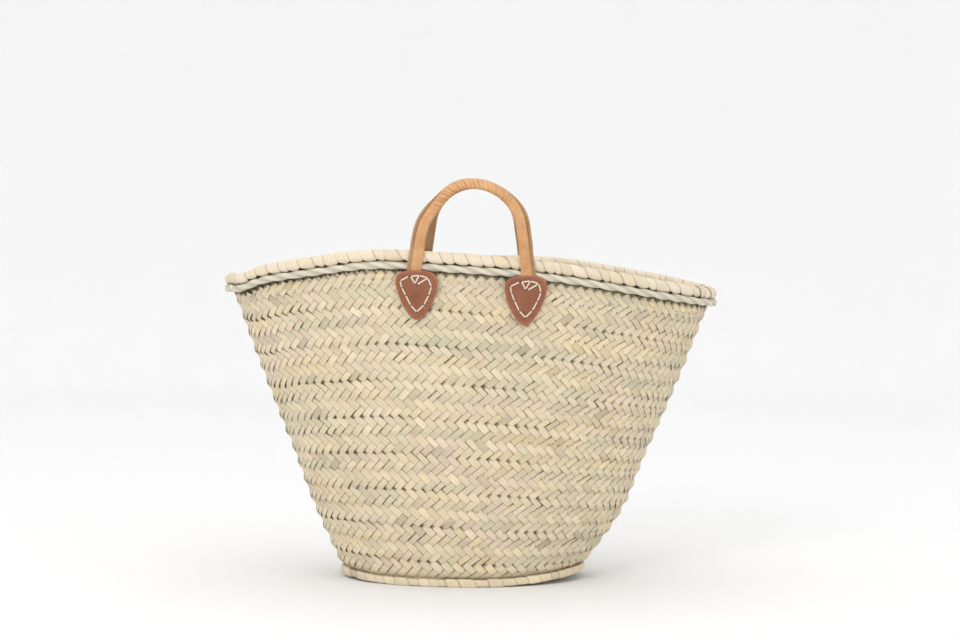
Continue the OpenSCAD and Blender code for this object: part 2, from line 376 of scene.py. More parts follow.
def surface_frame(surface, turn, share):
    """Point, rightward and upward steps per unit of turn and share, and the outward normal."""
    e = 1e-3
    here = surface(turn, share)
    right = (surface(turn + e, share) - surface(turn - e, share)) / (2 * e)
    up = (surface(turn, share + e) - surface(turn, share - e)) / (2 * e)
    return here, right, up, unit(np.cross(right, up))


def outward(turn):
    """Level direction square to the rim's outline."""
    s = shape()
    n = np.stack([s.rim_depth * np.cos(turn), s.rim_width * np.sin(turn), np.zeros_like(turn)], -1)
    return unit(n)


def foot_outward(turn):
    """Level direction square to the foot's outline."""
    s = shape()
    n = np.stack([s.foot_depth * np.cos(turn), s.foot_width * np.sin(turn), np.zeros_like(turn)], -1)
    return unit(n)


UP = np.array([0.0, 0.0, 1.0])


def even_turns(path, count):
    """Angles that divide a closed path, a function of turn, into equal lengths."""
    t = np.linspace(0, TAU, 2881)
    length = np.concatenate([[0], np.cumsum(np.linalg.norm(np.diff(path(t), axis=0), axis=1))])
    return np.interp(np.arange(count) / count * length[-1], length, t), length[-1]


# ---- Plait ---------------------------------------------------------------

# Stations along a strip, how far it dives under its neighbours there, and places across it
ALONG = np.array([-1.26, -1.0, -0.84, -0.3, 0.3, 0.84, 1.0, 1.26])
DIVE = np.array([0.95, 0.34, 0.04, 0.0, 0.0, 0.04, 0.34, 0.95]) * MM
ACROSS = np.array([-1.0, -0.82, 0.0, 0.82, 1.0, 0.0])
LEAF_TOP = np.array([1, 1, 1, 1, 1, 0])
# Painted shade at those stations: each strip is darker at its edges, where its ends go in under the neighbours, and
# on its underside, for the shadow in the joints
ALONG_PAINTED_SHADE = np.array([0.3, 0.62, 1.0, 1.0, 1.0, 1.0, 0.62, 0.3])
ACROSS_PAINTED_SHADE = np.array([0.42, 1.0, 1.0, 1.0, 0.5, 0.3])
STRIP_ROWS = 4           # rows in the width of the flat plait
END_SHARES = (0.002, 0.998)      # where a surface still has room for a step both ways


def leaf_faces():
    """Faces of one strip: a closed band of six sides, V-shaped below, with two quads over each end."""
    n, m = len(ALONG), len(ACROSS)
    quads = grid_quads(n, m, ring=True)[:, ::-1]
    last = (n - 1) * m
    ends = np.array([[0, 1, 2, 5], [2, 3, 4, 5]])
    ends = np.concatenate([ends, last + ends[:, ::-1]])
    return np.concatenate([quads, ends])


def spiral_places(surface, rows):
    """Where each strip lies: the flat plait climbs in a spiral, and its strips follow at an even pitch.

    Returns turn, share, row of the whole surface and lean: 1 for a strip that rises to the right.
    """
    pitch = plait_sizes().pitch
    climb = np.linspace(0, rows / STRIP_ROWS + 1, 4000)
    turn = TAU / 4 - TAU * climb
    middle = np.clip((STRIP_ROWS * (climb - 0.5)) / rows, 0, 1)
    step = np.linalg.norm(np.diff(surface(turn, middle), axis=0), axis=1)
    length = np.concatenate([[0], np.cumsum(step)])
    found = []
    for row in range(STRIP_ROWS):
        lean = 1 if row % 2 == 0 else -1
        at = (np.arange(int(length[-1] / pitch)) - lean / 4) * pitch
        c = np.interp(at, length, climb)
        y = STRIP_ROWS * (c - 1) + row + 0.5
        found.append(np.stack([TAU / 4 - TAU * c, y / rows, y, np.full_like(c, lean)]))
    places = np.concatenate(found, 1)
    keep = (places[2] > -0.4) & (places[2] < rows + 0.4)
    return places[:, keep]


def row_tones(row, turn, rng):
    """Slow changes of tone along each row: sums of a few waves with a start of their own in each row."""
    tone = np.zeros((len(row), 3))
    index = np.floor(row).astype(int)
    for waves in (1, 2, 5, 9):
        start = rng.uniform(0, TAU, (index.max() + 3, 3))
        tone += np.sin(waves * turn[:, None] + start[index]) / 4 * rng.uniform(0.6, 1.2)
    return tone


def leaf_colours(row, turn, rng):
    """One colour for each strip: straw mixed with green, gold and rose, lighter or darker at random."""
    n = len(row)
    tone = row_tones(row, turn, rng) * 1.1 + rng.normal(0, 0.24, (n, 3))
    mix = np.clip(tone - 0.1, 0, 0.7) * 0.8
    c = np.broadcast_to(colour("straw"), (n, 3)).copy()
    for k, name in enumerate(("green", "gold", "rose")):
        c += (colour(name) - c) * mix[:, [k]]
    light = row_tones(row, turn, rng).sum(1) * 0.045 + rng.normal(0, 0.04, n)
    dark = rng.random(n) < 0.04
    return c * (1 + light - dark * rng.uniform(0.08, 0.2, n))[:, None]


def per_strip(values):
    """One value for each strip, ready to spread over its points."""
    return values[:, None, None]


def plait_leaves(surface, places, rows, inner, rng, curved=True):
    """All strips of one face of the plait.

    A strip is a flat band at a slope: height = crown * (1 - along^2) - DIVE(along) - edge * across^4
    - tilt * across, so it lies over the strip below it like a tile and its ends go in under the next
    rows, all over a ridge that is a cosine of the row. inner makes the face inside the basket.
    """
    p = plait_sizes()
    turn, share, row, lean = places
    n = len(turn)
    if inner:
        lean = -lean
    here, right, up, out = surface_frame(surface, turn, np.clip(share, *END_SHARES))
    right_size = np.linalg.norm(right, axis=1)
    row_height = np.linalg.norm(up, axis=1) / rows
    side = np.hypot(p.pitch / 2, row_height / 2)
    slope = np.arctan2(row_height, p.pitch) + rng.normal(0, 0.03, n)
    sewn = np.abs((row + STRIP_ROWS / 2) % STRIP_ROWS - STRIP_ROWS / 2) < 1
    length = side * rng.uniform(0.98, 1.05, n) * np.where(sewn, 1.09, 1.0)
    narrow = np.where(rng.random(n) < 0.07, rng.uniform(0.76, 0.9, n), 1.0)
    width = p.pitch * np.sin(slope) / 2 * rng.normal(1.03, 0.035, n) * narrow
    a, w = ALONG[None, :, None], ACROSS[None, None, :]
    l = per_strip(length) * a
    v = per_strip(width) * w
    c, s = per_strip(np.cos(slope)), per_strip(lean * np.sin(slope))
    x = l * c - v * s + per_strip(rng.normal(0, 0.16 * MM, n))
    y = l * s + v * c + per_strip(rng.normal(0, 0.16 * MM, n))
    tilt = per_strip(rng.normal(p.tilt, 0.12 * MM, n))
    height = p.crown * (1 - a * a) - DIVE[None, :, None] - 0.14 * MM * w ** 4 - tilt * w
    height = height + per_strip(rng.normal(0, 0.07 * MM, n)) + per_strip(rng.normal(0, 0.12 * MM, n)) * a
    height = height - p.leaf * (1 - LEAF_TOP)
    at_row = per_strip(row) + y / per_strip(row_height)
    seam = np.abs((at_row + STRIP_ROWS / 2) % STRIP_ROWS - STRIP_ROWS / 2)
    # a soft ridge on each pair of rows, and a deeper valley where two turns are sewn together
    ridge = -p.ridge * np.cos(math.pi * at_row) - 0.3 * MM * np.exp(-(seam / 0.3) ** 2)
    middle = -shape().thickness / 2 + ridge
    lift = 1.25 * MM + height
    off = middle - lift if inner else middle + lift
    if curved:
        share_at = np.clip(per_strip(share) + y / per_strip(row_height) / rows, 0.0, 1.0)
        turn_at = per_strip(turn) + x / per_strip(right_size)
        here_at, _, _, out_at = surface_frame(surface, turn_at.ravel(), share_at.ravel())
        points = here_at + out_at * off.ravel()[:, None]
    else:
        points = per_strip(here) + x[..., None] * per_strip(unit(right))
        points = points + y[..., None] * per_strip(unit(up))
        points = (points + off[..., None] * per_strip(out)).reshape(-1, 3)
    faces = repeated(leaf_faces(), n, len(ALONG) * len(ACROSS))
    if inner:
        faces = faces[:, ::-1]
    # Painted shade: the strip's colour is darkened at its edges, its dived ends and its underside
    light = ALONG_PAINTED_SHADE[:, None] * ACROSS_PAINTED_SHADE[None]
    tint = (leaf_colours(np.clip(row, 0, rows) + 0.01, turn, rng)[:, None] * light.reshape(-1, 1)).reshape(-1, 3)
    shift = rng.uniform(0, 40, (n, 2))
    uv = np.stack(np.broadcast_arrays(l * 100, v * 100), -1) + shift[:, None, None]
    return points, [faces], tint, uv.reshape(-1, 2)


def plait_backing(surface, low, high, rows, steps=12, count=240):
    """Painted shade in the middle of the plait: a thin closed band between two shares of the surface, dark to stand
    for the shadow seen through gaps between the strips.
    """
    p = plait_sizes()
    turn = np.arange(count) / count * TAU
    share = np.linspace(low, high, steps + 1)
    shares = np.concatenate([share, share[::-1]])
    off = np.concatenate([np.full(steps + 1, 0.2 * MM), np.full(steps + 1, -0.2 * MM)])
    ridge = -p.ridge * np.cos(math.pi * shares * rows) - shape().thickness / 2
    t, s = (g.ravel() for g in np.meshgrid(turn, shares, indexing="ij"))
    here, _, _, out = surface_frame(surface, t, np.clip(s, *END_SHARES))
    points = here + out * np.tile(off + ridge, count)[:, None]
    faces = turned_right(points, [grid_quads(count, len(shares), ring=True, closed=True)])
    tint = np.broadcast_to(colour("shade"), points.shape)
    return points, faces, tint, np.stack([t * 10, s * 10], 1)


def plait_part(surface, places, band, rows, rng, curved=True):
    """Both faces and the backing of the plait between two shares of a surface."""
    low, high = band
    parts = [plait_backing(surface, max(low, 0.004), min(high, 0.996), rows)]
    inside = places[:, (places[1] >= low) & (places[1] < high)]
    for inner in (False, True):
        parts.append(plait_leaves(surface, inside, rows, inner, rng, curved))
    return joined(parts)


# ---- Winding and cords ---------------------------------------------------

PATH_STEPS = 1440        # steps by which a winding follows its rope
FOOT_STRIPS = 58
ROLL_STRIPS = 98


def wound(path, across, section, size, widths, colours, rng, slant=-1, start=-TAU / 4, relief=0.4 * MM,
          notch=0.15, uneven=0.2 * MM):
    """Leaf strips wound side by side round a closed rope: each is one turn of a helix.

    A strip covers the share of the rope between its bounds, shifted by the angle round the rope, and
    its radius is the rope's plus relief * (1 - across^2) and less a small step, so edges overlap.
    It starts narrower by the notch, so dark gaps show between the strips where they come up.
    path and across give centre and outward direction for a turn, and section the rope's outline.
    """
    bounds = np.concatenate([[0], np.cumsum(widths)])
    bounds = bounds / bounds[-1]
    n = len(widths)
    turns, _ = even_turns(path, PATH_STEPS)
    turns = np.append(turns, TAU)
    places = np.linspace(0, 1, PATH_STEPS + 1)
    a = np.array([-1, -0.8, 0, 0.8, 1, 0])
    top = np.array([1, 1, 1, 1, 1, 0])
    # Painted shade: each wound strip is darker at its edges and underneath
    edge_painted_shade = np.array([0.42, 1, 1, 1, 0.62, 0.3])
    angle = start + np.linspace(0, TAU, 25)
    narrow = notch * rng.uniform(0.3, 1.6, (n, 1, 1))
    narrow = narrow * np.clip(1 - (angle - start) / 1.1, 0, 1)[None, :, None]
    k = np.arange(n)[:, None, None] + 0.5 + a * (0.56 - narrow) + slant * (angle[:, None] - start) / TAU
    lap = np.floor(k / n)
    share = np.interp(k - lap * n, np.arange(n + 1), bounds) + lap
    turn = np.interp(share % 1, places, turns)
    lift = relief * (1 - a * a) - 0.3 * relief * a * top - 0.9 * MM * (1 - top)
    size = size + lift[None, None] + rng.normal(0, uneven, n)[:, None, None]
    x, y = section(angle)
    x, y = x[None, :, None] * size, y[None, :, None] * size
    flat = turn.ravel()
    points = path(flat) + x.ravel()[:, None] * across(flat) + y.ravel()[:, None] * UP
    m = len(a)
    quads = grid_quads(len(angle), m, ring=True)
    last = (len(angle) - 1) * m
    ends = np.array([[4, 3, 2, 5], [2, 1, 0, 5]])
    quads = np.concatenate([quads, ends, last + ends[:, ::-1]])
    faces = turned_right(points, [repeated(quads, n, len(angle) * m)])
    # Painted shade: darker where the strip comes up from under its neighbour
    low = 1 - 0.35 * np.clip(1 - (angle - start) / 0.7, 0, 1)
    light = (low[:, None] * edge_painted_shade[None]).reshape(-1, 1)
    tint = (colours[:, None] * light).reshape(-1, 3)
    u = np.broadcast_to(angle[None, :, None], x.shape) * 0.8
    v = np.broadcast_to(a[None, None], x.shape) * 0.6 + rng.uniform(0, 40, n)[:, None, None]
    return points, faces, tint, np.stack([u, v], -1).reshape(-1, 2)


def inner_rope(path, across, section, size, count=360):
    """A smooth rope inside a winding, in painted shade: it closes the gaps between its strips with the dark of the
    shadow inside them.
    """
    turns, _ = even_turns(path, count)
    angle = np.arange(12) / 12 * TAU
    outline = size * np.stack(section(angle), -1)
    centre = path(turns)
    up = np.broadcast_to(UP, centre.shape)
    outlines = np.repeat(outline[None], count, 0)
    return tube(centre, across(turns), up, outlines, closed=True, colours=colour("shade") * 0.6)


def round_section(angle):
    """A circle."""
    return np.cos(angle), np.sin(angle)


def two_ply(path, across, radius, lay, count, tint, sides=12, spread=0.45):
    """A cord of two plies on a closed path: the outline of two touching circles, turned once per lay.

    Radius at an angle = d |cos| + sqrt(r^2 - d^2 sin^2), with d the plies' distance and r their radius.
    """
    turns, length = even_turns(path, count)
    d = radius * spread
    r = radius - d
    twists = round(length / lay)
    spin = -np.arange(count) / count * TAU * twists
    phi = np.arange(sides) / sides * TAU
    reach = d * np.abs(np.cos(phi)) + np.sqrt(np.maximum(r * r - (d * np.sin(phi)) ** 2, 0))
    angle = phi[None] + spin[:, None]
    sections = np.stack([reach * np.cos(angle), reach * np.sin(angle)], -1)
    centre = path(turns)
    up = np.broadcast_to(UP, centre.shape)
    shadow = 0.72 + 0.28 * (reach - reach.min()) / np.ptp(reach)
    colours = tint[None, None] * shadow[None, :, None] * np.ones((count, 1, 1))
    return tube(centre, across(turns), up, sections, 60, True, colours.reshape(-1, 3))


# ---- Shader maths --------------------------------------------------------


class Value:
    """A shader socket that takes part in Python expressions."""

    def __init__(self, maker, socket):
        self.maker, self.socket = maker, socket

    def _join(self, operation, left, right):
        return self.maker.node("ShaderNodeMath", {"operation": operation}, {0: left, 1: right})

    def __add__(self, other):
        return self._join("ADD", self, other)

    def __radd__(self, other):
        return self._join("ADD", other, self)

    def __sub__(self, other):
        return self._join("SUBTRACT", self, other)

    def __rsub__(self, other):
        return self._join("SUBTRACT", other, self)

    def __mul__(self, other):
        return self._join("MULTIPLY", self, other)

    def __rmul__(self, other):
        return self._join("MULTIPLY", other, self)

    def __truediv__(self, other):
        return self._join("DIVIDE", self, other)

    def __pow__(self, other):
        return self._join("POWER", self, other)


class Finish:
    """A material being made: node() adds a node, and shade() sets the surface's own sockets."""

    def __init__(self, name):
        self.material = bpy.data.materials.new(name)
        self.material.use_nodes = True
        self.tree = self.material.node_tree
        self.surface = self.tree.nodes["Principled BSDF"]

    def feed(self, socket, value):
        """Links a value to a socket, or sets it."""
        if isinstance(value, Value):
            self.tree.links.new(value.socket, socket)
        elif hasattr(value, "__len__") and len(value) == 3 and socket.type == "RGBA":
            socket.default_value = (*value, 1.0)
        else:
            socket.default_value = value

    def node(self, kind, settings=None, inputs=None, output=0):
        """Adds a node, sets it up and feeds its inputs, and returns one of its outputs."""
        node = self.tree.nodes.new(kind)
        for key, value in (settings or {}).items():
            if key == "stops":
                ramp = node.color_ramp
                while len(ramp.elements) < len(value):
                    ramp.elements.new(0.5)
                for element, (place, c) in zip(ramp.elements, value):
                    element.position = place
                    element.color = (*c, 1.0)
            else:
                setattr(node, key, value)
        for key, value in (inputs or {}).items():
            self.feed(node.inputs[key], value)
        return Value(self, node.outputs[output])

    def mix(self, factor, a, b, blend="MIX"):
        """Two colours mixed by a factor."""
        node = self.tree.nodes.new("ShaderNodeMix")
        node.data_type = "RGBA"
        node.blend_type = blend
        self.feed(node.inputs[0], factor)
        self.feed(node.inputs[6], a)
        self.feed(node.inputs[7], b)
        return Value(self, node.outputs[2])

    def noise(self, vector, scale, detail=3.0, roughness=0.55):
        """Smooth noise from 0 to 1."""
        return self.node("ShaderNodeTexNoise", {}, {
            "Vector": vector, "Scale": scale, "Detail": detail, "Roughness": roughness})

    def stretched(self, vector, scale):
        """Coordinates scaled by three factors."""
        return self.node("ShaderNodeMapping", {}, {"Vector": vector, "Scale": scale})

    def between(self, value, low, high, out_low=0.0, out_high=1.0):
        """The value moved from one range to another and held inside it."""
        return self.node("ShaderNodeMapRange", {}, {
            "Value": value, "From Min": low, "From Max": high, "To Min": out_low, "To Max": out_high})

    def bump(self, height, strength, distance):
        """A normal bent by a height."""
        return self.node("ShaderNodeBump", {}, {"Height": height, "Strength": strength, "Distance": distance})

    def shade(self, **sockets):
        """Feeds the surface's sockets, named with underscores for spaces."""
        for key, value in sockets.items():
            self.feed(self.surface.inputs[key.replace("_", " ")], value)
        return self.material


def own_uv(f):
    """The piece's own strip coordinates: along the leaf, then across it."""
    return f.node("ShaderNodeUVMap", {"uv_map": "strip"})


def own_tint(f):
    """The colour stored at each point of the piece, with the painted shade that many pieces carry in it."""
    return f.node("ShaderNodeAttribute", {"attribute_name": "tint"})


def place(f):
    """Coordinates of the object."""
    return f.node("ShaderNodeTexCoord", {}, {}, output=3)


def leaf_material(name, gloss=0.5, streak=0.16, fleck=0.25):
    """Dried palm leaf: long fine streaks along each strip, a few darker veins, and faint blotches."""
    f = Finish(name)
    uv, at = own_uv(f), place(f)
    fine = f.noise(f.stretched(uv, (0.6, 22.0, 1.0)), 1.0, 4.0, 0.6)
    broad = f.noise(f.stretched(uv, (0.35, 5.0, 1.0)), 1.0, 2.0)
    blotch = f.noise(at, 55.0, 3.0)
    veins = f.between(fine, 0.58, 0.74)
    light = 1 + (fine - 0.5) * streak * 2 + (broad - 0.5) * streak * 2 + (blotch - 0.5) * 0.12
    grey = f.node("ShaderNodeCombineColor", {}, {0: light, 1: light, 2: light})
    base = f.mix(1.0, own_tint(f), grey, "MULTIPLY")
    brown = f.mix(veins * fleck, base, tuple(linear((0.62, 0.50, 0.33))))
    rough = f.between(broad, 0.3, 0.7, gloss, gloss + 0.16)
    return f.shade(Base_Color=brown, Roughness=rough, Normal=f.bump(fine + broad * 0.5, 0.35, 0.0004))


def cord_material():
    """Twisted leaf cord: fibres that run round with the twist."""
    f = Finish("leaf_cord")
    uv = own_uv(f)
    fibre = f.noise(f.stretched(uv, (1.2, 30.0, 1.0)), 1.0, 4.0, 0.65)
    light = 1 + (fibre - 0.5) * 0.5
    grey = f.node("ShaderNodeCombineColor", {}, {0: light, 1: light, 2: light})
    base = f.mix(1.0, own_tint(f), grey, "MULTIPLY")
    return f.shade(Base_Color=base, Roughness=f.between(fibre, 0.3, 0.7, 0.6, 0.8),
                   Normal=f.bump(fibre, 0.5, 0.0005))


def leather_material(name, main, dark, pale, gloss):
    """Vegetable-tanned leather: cloudy colour and fine pores, times the piece's tint, which makes a patch paler
    where it is worn and carries painted shade on the handles.
    """
    f = Finish(name)
    at = place(f)
    cloud = f.noise(at, 38.0, 4.0, 0.6)
    small = f.noise(at, 260.0, 3.0, 0.6)
    pores = f.node("ShaderNodeTexVoronoi", {"feature": "F1"}, {"Vector": at, "Scale": 1500.0})
    body = f.mix(f.between(cloud, 0.36, 0.66), dark, main)
    body = f.mix(f.between(small, 0.5, 0.78) * 0.35, body, pale)
    base = f.mix(1.0, body, own_tint(f), "MULTIPLY")
    rough = f.between(cloud, 0.3, 0.7, gloss + 0.12, gloss)
    grain = small * 0.6 + pores * 0.8
    return f.shade(Base_Color=base, Roughness=rough, Normal=f.bump(grain, 0.3, 0.0003))


def thread_material():
    """Waxed thread: fine turns of the twist along each stitch."""
    f = Finish("waxed_thread")
    twist = f.noise(f.stretched(own_uv(f), (14.0, 3.0, 1.0)), 1.0, 2.0)
    base = f.mix(f.between(twist, 0.35, 0.65), tuple(colour("thread") * 0.8), tuple(colour("thread")))
    return f.shade(Base_Color=base, Roughness=f.between(twist, 0.3, 0.7, 0.5, 0.65),
                   Normal=f.bump(twist, 0.4, 0.0002))


def hole_material():
    """The shadow inside a needle hole."""
    f = Finish("needle_hole")
    deep = f.noise(place(f), 900.0, 2.0)
    base = f.mix(deep, tuple(linear((0.20, 0.11, 0.07))), tuple(linear((0.32, 0.19, 0.13))))
    return f.shade(Base_Color=base, Roughness=f.between(deep, 0.3, 0.7, 0.8, 0.95))


def hidden_fibre_material():
    """Rough plant fibre for the bundle in the rim and the rope in the handles."""
    f = Finish("inner_fibre")
    at = place(f)
    strand = f.noise(f.stretched(at, (1.0, 1.0, 0.2)), 420.0, 3.0, 0.6)
    base = f.mix(strand, tuple(linear((0.55, 0.46, 0.30))), tuple(linear((0.76, 0.69, 0.52))))
    return f.shade(Base_Color=base, Roughness=f.between(strand, 0.3, 0.7, 0.75, 0.92),
                   Normal=f.bump(strand, 0.6, 0.001))


FINISHES = {}


def finish(name):
    """One material of each kind, made the first time that it is asked for."""
    makers = {
        "leaf": lambda: leaf_material("palm_leaf"),
        "rim_leaf": lambda: leaf_material("rim_leaf", 0.42, 0.10, 0.12),
        "cord": cord_material,
        "tan": lambda: leather_material(
            "tan_leather", tuple(colour("tan")), tuple(colour("tan") * (0.78, 0.68, 0.58)),
            tuple(np.minimum(colour("tan") * 1.35, 1)), 0.42),
        "brown": lambda: leather_material(
            "brown_leather", tuple(colour("brown")), tuple(colour("brown") * (0.72, 0.66, 0.62)),
            tuple(np.minimum(colour("brown") * 1.4, 1)), 0.45),
        "thread": thread_material,
        "hole": hole_material,
        "fibre": hidden_fibre_material,
    }
    if name not in FINISHES:
        FINISHES[name] = makers[name]()
    return FINISHES[name]


# ---- Handles and patches -------------------------------------------------

ROLL_OUT = 1.0 * MM
ROLL_RADIUS = 6.4 * MM
ROLL_UP = ROLL_RADIUS + 0.2 * MM
CORD_RADIUS = 3.6 * MM
PATCH_THICKNESS = 2.0 * MM
STRAP_THICKNESS = 2.5 * MM
STRAP_WIDTH = 14.0 * MM
STRAP_OUT = ROLL_OUT + ROLL_RADIUS + 0.4 * MM + STRAP_THICKNESS / 2
PATCH_HIGH = STRAP_OUT + (STRAP_THICKNESS + PATCH_THICKNESS) / 2 + 0.2 * MM
PATCH_REST = PATCH_THICKNESS / 2 + 0.4 * MM
PATCH_EASE = 32 * MM
PATCH_SIZE = (42.0 * MM, 49.0 * MM)
PATCH_WIDEST = 0.26
GRIP_RADIUS = (COVER[1][1] - COVER[0][1]) / 2
LEG_REACH = 53.5 * MM
ARCH_RADIUS = 49.5 * MM
LEG_LEAN = math.radians(8)
LINE_POINTS = 640        # points along the middle line of a handle
BUNDLE_RADIUS = 4.7 * MM
ROPE_RADIUS = 3.5 * MM
BASE_BAND = 36 * MM      # from one sewn seam of the base to the next

# Needle holes of a patch, across and down from the middle of its top, in millimetres
EDGE_HOLES = np.array([
    [-7, 6], [-16, 10.5], [-14.5, 17], [-11, 24.5], [-6, 34.5], [0, 41],
    [7, 34], [12, 24.5], [15, 16], [12, 7.5], [3.5, 5], [-5, 6]])
CREST_HOLES = np.array([[3.5, 5], [-1, 13], [-5, 6]])
CREST_TAIL = np.array([[1, 14], [12, 7.5]])
DIMPLE = (-0.5, 14.5)


def leg_turn(side, hand):
    """The angle round the basket at which a leg crosses the rim."""
    x = JOINTS[f"{side}_handle_swing"]["pos_m"][0] + (LEG_REACH if hand == "right" else -LEG_REACH)
    t = math.acos(x / shape().rim_width)
    return t if side == "back" else -t


class LegPlace:
    """The upright plane behind a patch: its corner, and its sideways and outward directions."""

    def __init__(self, side, hand):
        t = np.array([leg_turn(side, hand)])
        self.out = outward(t)[0]
        s = shape()
        top = span(f"{side}_{hand}_patch")[1][2]
        self.corner = np.array([s.rim_width * math.cos(t[0]), s.rim_depth * math.sin(t[0]), top])
        self.across = np.cross(UP, self.out)

    def at(self, x, out, down):
        """Points at x along the rim to the right as seen from outside, out of the wall and down."""
        x, out, down = (np.asarray(v, float)[..., None] for v in (x, out, down))
        return self.corner + x * self.across + out * self.out - down * UP


def patch_out(down):
    """Distance of a patch's mid plane from the wall: a cosine curve down to the wall."""
    ease = 0.5 + 0.5 * np.cos(math.pi * np.clip(down / PATCH_EASE, 0, 1))
    return PATCH_REST + (PATCH_HIGH - PATCH_REST) * ease


def drape(x, down):
    """Mid plane of a patch: it hangs over the strap as a soft hump and comes nearer the wall beside it."""
    hump = 0.80 + 0.20 * np.exp(-(x / (11 * MM)) ** 2)
    out = PATCH_REST + (patch_out(down) - PATCH_REST) * hump
    holes = np.concatenate([EDGE_HOLES, EDGE_HOLES[:1]]) * MM
    a, b = holes[:-1], holes[1:]
    p = np.stack([x, down], -1)[..., None, :]
    t = np.clip(((p - a) * (b - a)).sum(-1) / ((b - a) ** 2).sum(-1), 0, 1)
    near = np.linalg.norm(p - (a + t[..., None] * (b - a)), axis=-1).min(-1)
    groove = 0.35 * MM * np.exp(-(near / (1.5 * MM)) ** 2)
    dimple = np.hypot(x - DIMPLE[0] * MM, down - DIMPLE[1] * MM)
    return out - groove - 0.9 * MM * np.exp(-(dimple / (2.6 * MM)) ** 2)


def patch_half(share):
    """Half width of the shield at a share of its height: a broad rounded top that narrows to a point."""
    top = np.clip((PATCH_WIDEST - share) / PATCH_WIDEST, 0, 1)
    low = np.clip((share - PATCH_WIDEST) / (1 - PATCH_WIDEST), 0, 1)
    return PATCH_SIZE[0] / 2 * (1 - top ** 3) ** (1 / 3) * (1 - low ** 1.4) ** 0.6


def patch_outline(count):
    """Points round the shield, evenly spaced along its edge."""
    share = 0.5 - 0.5 * np.cos(np.linspace(0, math.pi, 400))
    half = patch_half(share)
    x = np.concatenate([half, -half[-2:0:-1]])
    y = np.concatenate([share, share[-2:0:-1]]) * PATCH_SIZE[1]
    loop = np.stack([np.append(x, x[0]), np.append(y, y[0])], 1)
    length = np.concatenate([[0], np.cumsum(np.linalg.norm(np.diff(loop, axis=0), axis=1))])
    at = np.arange(count) / count * length[-1]
    return np.stack([np.interp(at, length, loop[:, k]) for k in (0, 1)], 1)


def patch_part(where):
    """A patch: the outline shrunk towards its middle in rings, over the front, round the edge and back.

    Each ring is (scale, height): the front rings lie half a thickness out, the edge rings are round.
    """
    count = 120
    front = np.linspace(0.02, 0.955, 26)
    bend = np.linspace(0, math.pi, 6)[1:-1]
    scale = np.concatenate([front, 0.965 + 0.035 * np.sin(bend), front[::-3]])
    half = PATCH_THICKNESS / 2
    height = np.concatenate([np.full(len(front), half), half * np.cos(bend), np.full(len(front[::-3]), -half)])
    outline = patch_outline(count)
    middle = np.array([0.0, PATCH_SIZE[1] * 0.42])
    flat = middle + scale[:, None, None] * (outline - middle)[None]
    x, down = flat[..., 0], flat[..., 1]
    edge = np.clip((scale - 0.8) / 0.2, 0, 1)[:, None]
    out = drape(x, down) + height[:, None] - 0.55 * MM * edge ** 2
    points = where.at(x, out, down).reshape(-1, 3)
    rings = len(scale)
    tips = np.array([rings * count, rings * count + 1])
    centre = np.array([[middle[0], middle[1]]])
    depth = drape(centre[:, 0], centre[:, 1])
    points = np.concatenate([points, where.at(centre[:, 0], depth + half, centre[:, 1]),
                             where.at(centre[:, 0], depth - half, centre[:, 1])])
    j = np.arange(count)
    first = np.stack([(j + 1) % count, j, np.full(count, tips[0])], 1)
    last = (rings - 1) * count
    back = np.stack([last + j, last + (j + 1) % count, np.full(count, tips[1])], 1)
    faces = turned_right(points, [grid_quads(rings, count, ring=True), np.concatenate([first, back])])
    worn = 1 + 0.45 * np.clip((scale - 0.86) / 0.12, 0, 1) ** 2
    worn = worn * np.where(np.arange(rings) < len(front) + 4, 1.0, 0.8)
    tint = np.repeat(np.stack([worn, worn * 0.98, worn * 0.95], 1), count, 0)
    tint = np.concatenate([tint, np.ones((2, 3))])
    uv = np.concatenate([np.stack([x, down], -1).reshape(-1, 2), centre, centre]) * 100
    return points, faces, tint, uv


def stitch_part(where, a, b):
    """One stitch: a thread that arches from hole to hole and dips into the leather at both ends."""
    t = np.linspace(0, 1, 11)
    flat = a[None] + (b - a)[None] * (0.05 + 0.9 * t[:, None])
    lift = PATCH_THICKNESS / 2 + 0.40 * MM - 1.5 * MM * np.abs(2 * t - 1) ** 7
    x, down = flat[:, 0] * MM, flat[:, 1] * MM
    path = where.at(x, drape(x, down) + 0.3 * MM * (1 - np.abs(2 * t - 1) ** 7) + lift, down)
    along = unit(np.gradient(path, axis=0))
    side = unit(np.cross(along, where.out))
    front = np.cross(side, along)
    angle = np.arange(8) / 8 * TAU
    ring = 0.72 * MM * np.stack([np.cos(angle), np.sin(angle)], 1)
    return tube(path, side, front, np.repeat(ring[None], len(t), 0), 1000)


def hole_part(where, hole):
    """A needle hole: a flat disc with a rounded rim, set on the leather and dark with the painted shadow inside the
    hole.
    """
    angle = np.arange(12) / 12 * TAU
    radius = np.array([0.95, 0.75, 0.05]) * MM
    lift = np.array([-0.25, 0.07, 0.03]) * MM + PATCH_THICKNESS / 2
    x = hole[0] * MM + radius[:, None] * np.cos(angle)
    down = hole[1] * MM + radius[:, None] * np.sin(angle)
    points = where.at(x, drape(x, down) + lift[:, None], down).reshape(-1, 3)
    j = np.arange(12)
    base = where.at([hole[0] * MM], drape(np.array([hole[0] * MM]), np.array([hole[1] * MM])) + 0.2 * MM,
                    [hole[1] * MM])
    points = np.concatenate([points, base, base + where.out * (lift[2] - 0.2 * MM)])
    faces = [grid_quads(3, 12, ring=True),
             np.concatenate([np.stack([(j + 1) % 12, j, np.full(12, 36)], 1),
                             np.stack([24 + j, 24 + (j + 1) % 12, np.full(12, 37)], 1)])]
    return points, turned_right(points, faces), np.ones((len(points), 3)), np.zeros((len(points), 2))


